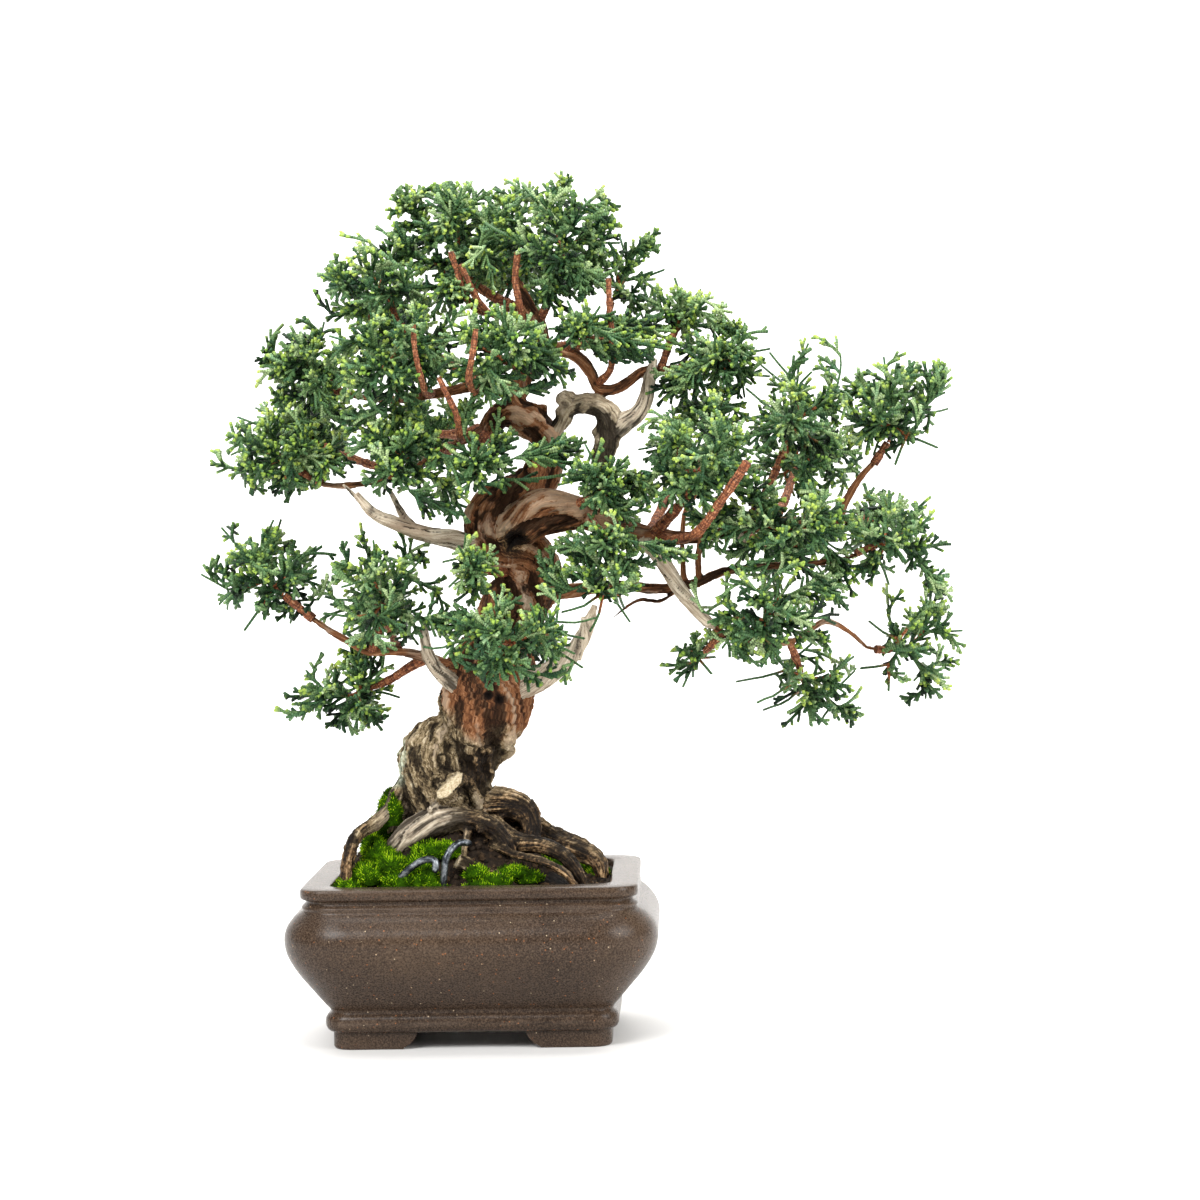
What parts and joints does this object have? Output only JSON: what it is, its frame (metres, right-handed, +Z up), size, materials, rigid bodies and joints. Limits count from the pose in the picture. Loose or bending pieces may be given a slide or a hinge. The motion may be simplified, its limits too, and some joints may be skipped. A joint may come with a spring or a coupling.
{
  "type": "potted bonsai tree",
  "caption": "Potted juniper bonsai: a twisted trunk with bare deadwood and sprays of scale foliage rises from exposed roots in a bellied unglazed clay pot on bracket feet.",
  "frame": {"origin": "middle of the whole bonsai's bounding box, on the surface that the pot's feet stand on", "axes": "+Z up; the viewing side of the tree faces -Y; the long right-hand branches reach toward +X"},
  "size_m": [0.2732, 0.1564, 0.3073],
  "materials": {
    "pot": "satin",
    "screen": "matte",
    "wire": "satin",
    "soil": "matte",
    "bark": "matte",
    "foliage": "satin"
  },
  "bodies": {
    "root": {"pot": "pot", "pot_foot_front_left": "pot", "pot_foot_back_left": "pot", "pot_foot_front_right": "pot", "pot_foot_back_right": "pot", "drain_screen_left": "screen", "drain_screen_right": "screen", "tie_wire": "wire", "soil": "soil", "tree": "bark", "spray_crown_left": "foliage", "spray_crown_right": "foliage", "spray_upper_left": "foliage", "spray_upper_right": "foliage", "spray_mid_left": "foliage", "spray_mid_front": "foliage", "spray_outer_left": "foliage", "spray_low_left": "foliage", "spray_inner_left": "foliage", "spray_hook_front": "foliage", "spray_bend_front": "foliage", "spray_reach_up": "foliage", "spray_reach_right": "foliage", "spray_right_inner": "foliage", "spray_right_mid": "foliage", "spray_right_high": "foliage", "spray_right_low": "foliage", "spray_right_end": "foliage", "spray_drop_front": "foliage", "spray_drop_right": "foliage", "spray_drop_low": "foliage", "spray_drop_tip": "foliage", "spray_bend_low": "foliage", "spray_front_low": "foliage", "spray_far_left": "foliage", "spray_left_low": "foliage", "spray_left_under": "foliage", "spray_trunk_front": "foliage", "spray_bend_mid": "foliage", "spray_gap_high": "foliage", "spray_gap_right": "foliage", "spray_back_crown": "foliage", "spray_back_left_high": "foliage", "spray_back_left_mid": "foliage", "spray_back_left_out": "foliage", "spray_back_right_in": "foliage", "spray_back_right_mid": "foliage", "spray_back_right_low": "foliage", "spray_back_low": "foliage", "spray_back_left_low": "foliage", "spray_back_right_out": "foliage"}
  },
  "joints": []
}
